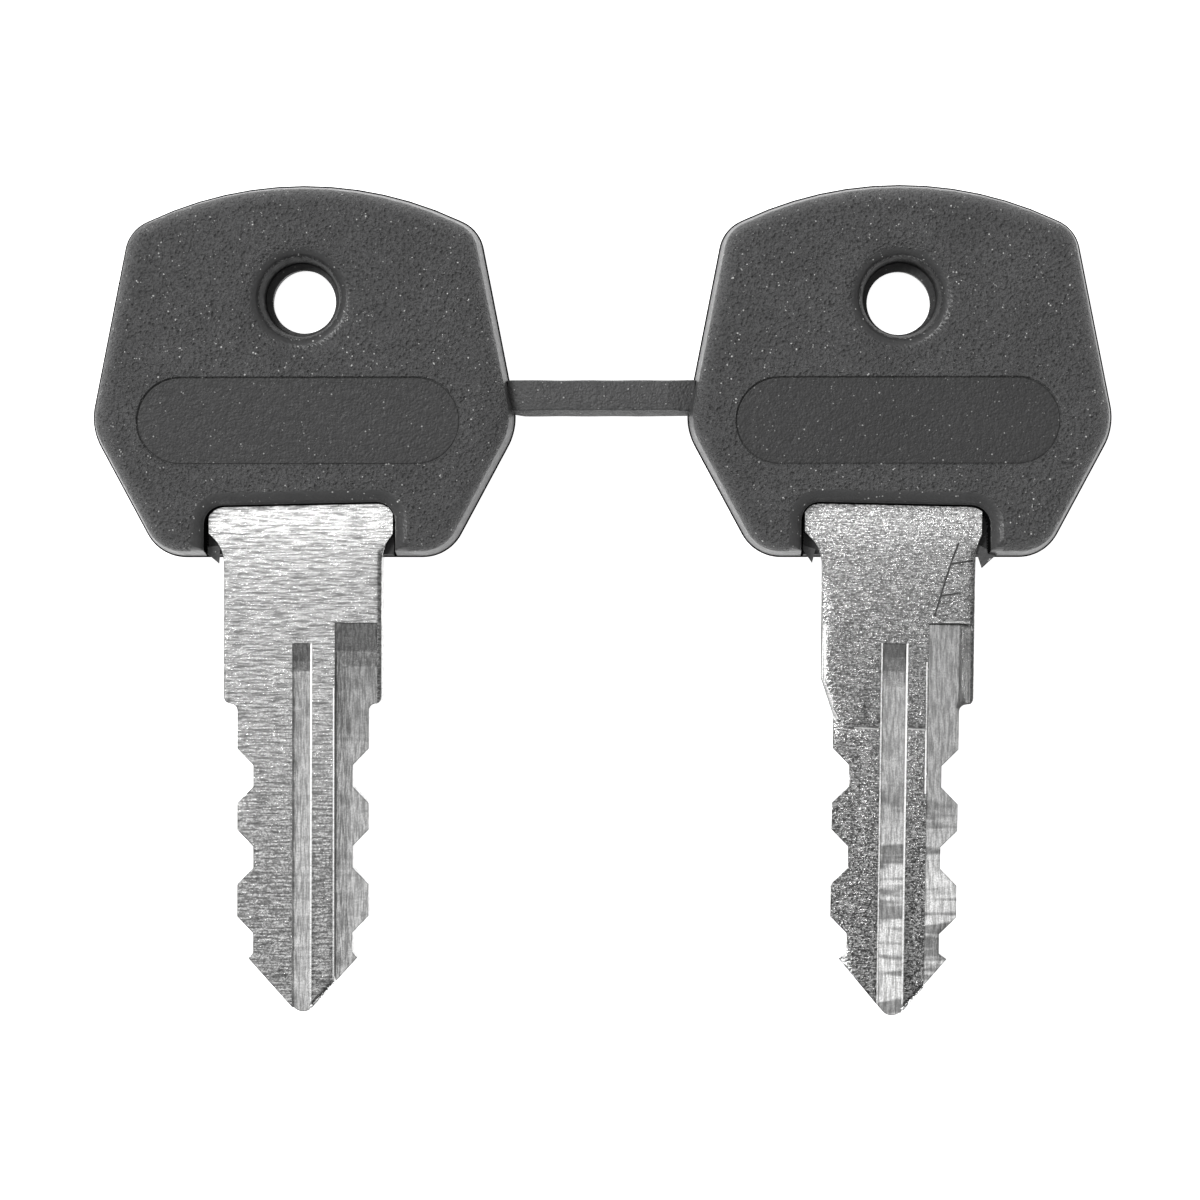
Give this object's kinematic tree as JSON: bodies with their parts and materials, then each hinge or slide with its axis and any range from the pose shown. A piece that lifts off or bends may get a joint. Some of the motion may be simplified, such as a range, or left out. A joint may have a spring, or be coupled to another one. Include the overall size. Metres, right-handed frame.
{
  "type": "twin spare keys for a selector key switch",
  "caption": "Two flat double-bitted metal keys with moulded plastic heads, joined side by side by a thin plastic web that flexes at its ends.",
  "frame": {"origin": "middle of the pair's length and width, on the back faces of the heads, which it rests on", "axes": "+X along the web, from the left key to the right key seen from the front; +Y from the blade tips to the tops of the heads; +Z out of the front faces"},
  "size_m": [0.0582, 0.0474, 0.005],
  "materials": {
    "head_plastic": "fine spark-eroded grain, satin on the rounded edges",
    "blade_metal": "brushed across the blade, milled along its slots"
  },
  "bodies": {
    "left_key": {"left_head": "head_plastic", "left_blade": "blade_metal"},
    "link": {"left_neck": "head_plastic", "link_bar": "head_plastic", "right_neck": "head_plastic"},
    "right_key": {"right_head": "head_plastic", "right_blade": "blade_metal"}
  },
  "joints": [
    {"name": "left_flex", "type": "hinge", "parent": "left_key", "child": "link", "pos_m": [-0.00437, 0.01153, 0.0025], "axis": [0, 1, 0], "range_deg": [-45, 45], "stiffness_Nm_per_rad": 0.03, "deforming": ["left_neck"]},
    {"name": "right_flex", "type": "hinge", "parent": "link", "child": "right_key", "pos_m": [0.00437, 0.01153, 0.0025], "axis": [0, 1, 0], "range_deg": [-45, 45], "stiffness_Nm_per_rad": 0.03, "deforming": ["right_neck"]}
  ]
}
